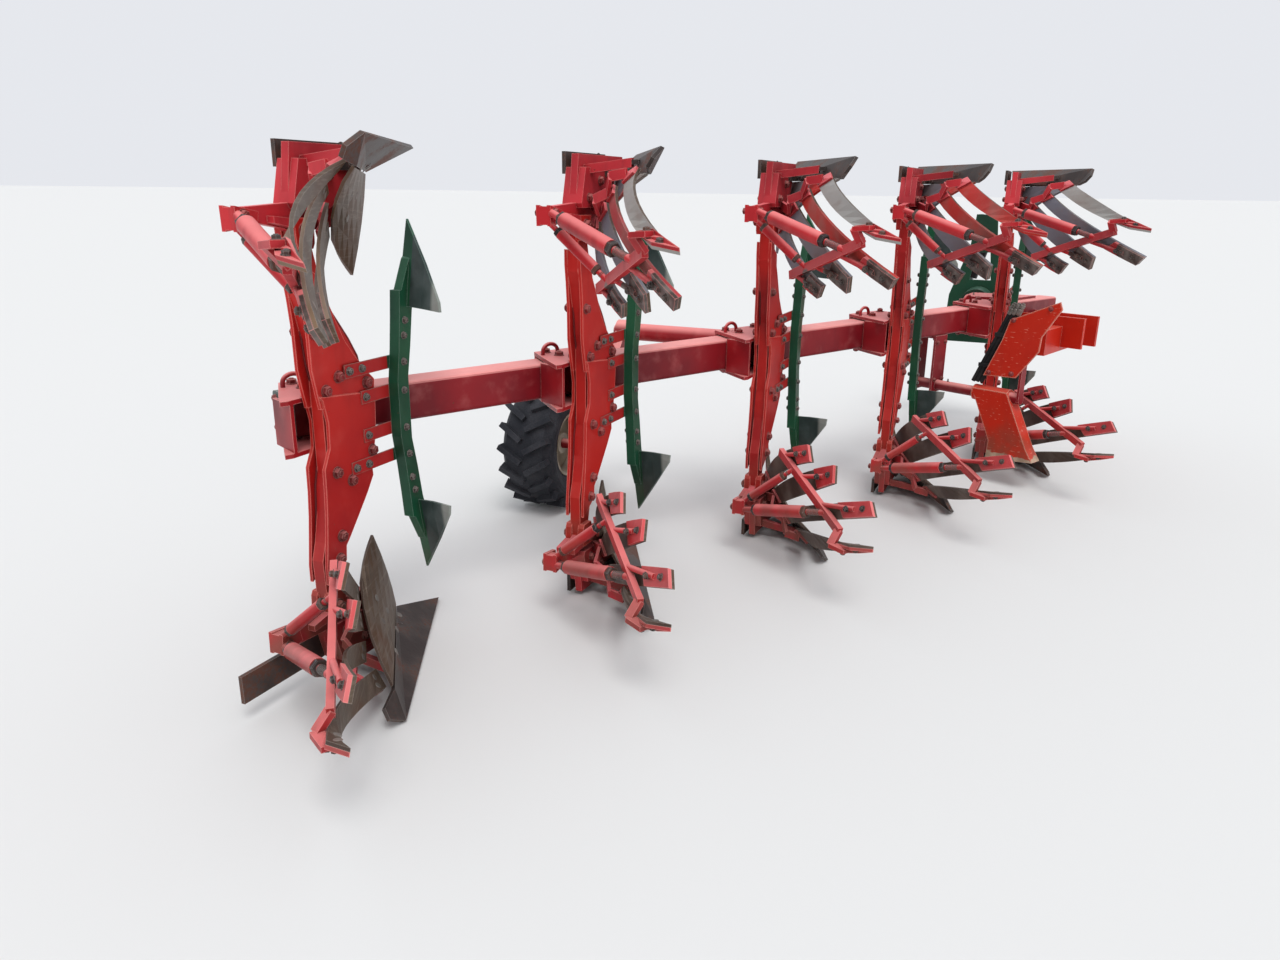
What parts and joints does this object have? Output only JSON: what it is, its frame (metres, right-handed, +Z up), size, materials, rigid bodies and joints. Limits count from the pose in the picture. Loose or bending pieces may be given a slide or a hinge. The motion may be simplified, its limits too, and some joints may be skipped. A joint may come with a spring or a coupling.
{
  "type": "reversible moldboard plough",
  "caption": "Mounted reversible moldboard plough with slatted bodies above and below a slanting square beam, a depth wheel, a parking stand and a turning headstock.",
  "frame": {"origin": "centre of the box's footprint, on the ground that the lower shares and the wheel stand on", "axes": "+X forward in the direction of travel, +Y to the left, +Z up"},
  "size_m": [5.7894, 2.8378, 1.7438],
  "materials": {
    "beam_paint": "weathered dark red paint",
    "red_paint": "faded red paint with worn edges",
    "front_paint": "orange-red paint",
    "stay_paint": "faded red paint, scuffed",
    "green_paint": "green paint",
    "headstock_paint": "dark green paint",
    "cap_paint": "grey-green paint",
    "slat_steel": "scoured steel with a rust film",
    "share_steel": "dark worn steel",
    "rim_paint": "dusty pale paint",
    "tyre_rubber": "dusty black rubber",
    "pin_steel": "bare steel",
    "cylinder_paint": "black paint",
    "rod_chrome": "hard chrome",
    "hose_rubber": "black rubber"
  },
  "bodies": {
    "frame": {"beam": "beam_paint", "beam_end_plate": "cap_paint", "clamp_1": "red_paint", "clamp_2": "red_paint", "clamp_3": "red_paint", "clamp_4": "red_paint", "clamp_5": "red_paint", "leg_1": "red_paint", "leg_2": "red_paint", "leg_3": "red_paint", "leg_4": "red_paint", "leg_5": "red_paint", "frog_1": "red_paint", "frog_2": "red_paint", "frog_3": "red_paint", "frog_4": "red_paint", "frog_5": "red_paint", "shares_1": "share_steel", "shares_2": "share_steel", "shares_3": "share_steel", "shares_4": "share_steel", "shares_5": "share_steel", "moldboards_1": "slat_steel", "moldboards_2": "slat_steel", "moldboards_3": "slat_steel", "moldboards_4": "slat_steel", "moldboards_5": "slat_steel", "stays_1": "stay_paint", "stays_2": "stay_paint", "stays_3": "stay_paint", "stays_4": "stay_paint", "stays_5": "stay_paint", "skimmers_1": "green_paint", "skimmers_2": "green_paint", "skimmers_3": "green_paint", "skimmers_4": "green_paint", "skimmers_5": "green_paint", "wheel_bracket": "red_paint", "turning_frame": "red_paint", "side_arm": "red_paint", "guard_plate": "front_paint", "stand_bracket": "red_paint", "hoses": "hose_rubber"},
    "headstock": {"headstock": "headstock_paint", "top_link_ears": "headstock_paint", "link_cheeks": "headstock_paint", "cylinder_pin": "pin_steel", "cross_shaft": "pin_steel"},
    "cylinder_barrel": {"cylinder_barrel": "cylinder_paint"},
    "cylinder_rod": {"cylinder_rod": "rod_chrome"},
    "wheel_arm": {"wheel_arm": "beam_paint"},
    "wheel": {"wheel_rim": "rim_paint", "tyre": "tyre_rubber"},
    "parking_stand": {"parking_stand": "front_paint"}
  },
  "joints": [
    {"name": "turnover", "type": "hinge", "parent": "frame", "child": "headstock", "pos_m": [2.74449, -0.52, 0.872], "axis": [1, 0, 0], "range_deg": [-180, 0]},
    {"name": "cylinder_swing", "type": "hinge", "parent": "headstock", "child": "cylinder_barrel", "pos_m": [2.81549, -0.52, 1.267], "axis": [1, 0, 0], "range_deg": [-32.66, 0.2]},
    {"name": "cylinder_stroke", "type": "slide", "parent": "cylinder_barrel", "child": "cylinder_rod", "axis": [0, -0.2795, 0.9601], "range_m": [0, 0.1314]},
    {"name": "wheel_arm_swing", "type": "hinge", "parent": "frame", "child": "wheel_arm", "pos_m": [0.22125, 1.07375, 0.872], "axis": [0, 1, 0], "range_deg": [0, 100]},
    {"name": "wheel_spin", "type": "hinge", "parent": "wheel_arm", "child": "wheel", "pos_m": [-0.22875, 1.27625, 0.336], "axis": [0, 1, 0], "continuous": true},
    {"name": "stand_swing", "type": "hinge", "parent": "frame", "child": "parking_stand", "pos_m": [1.42708, -0.38213, 0.507], "axis": [0.4226, 0.9063, 0], "range_deg": [0, 80]}
  ],
  "couplings": [
    {"joint": "cylinder_swing", "follows": "turnover", "ratio": 0.18036}
  ]
}
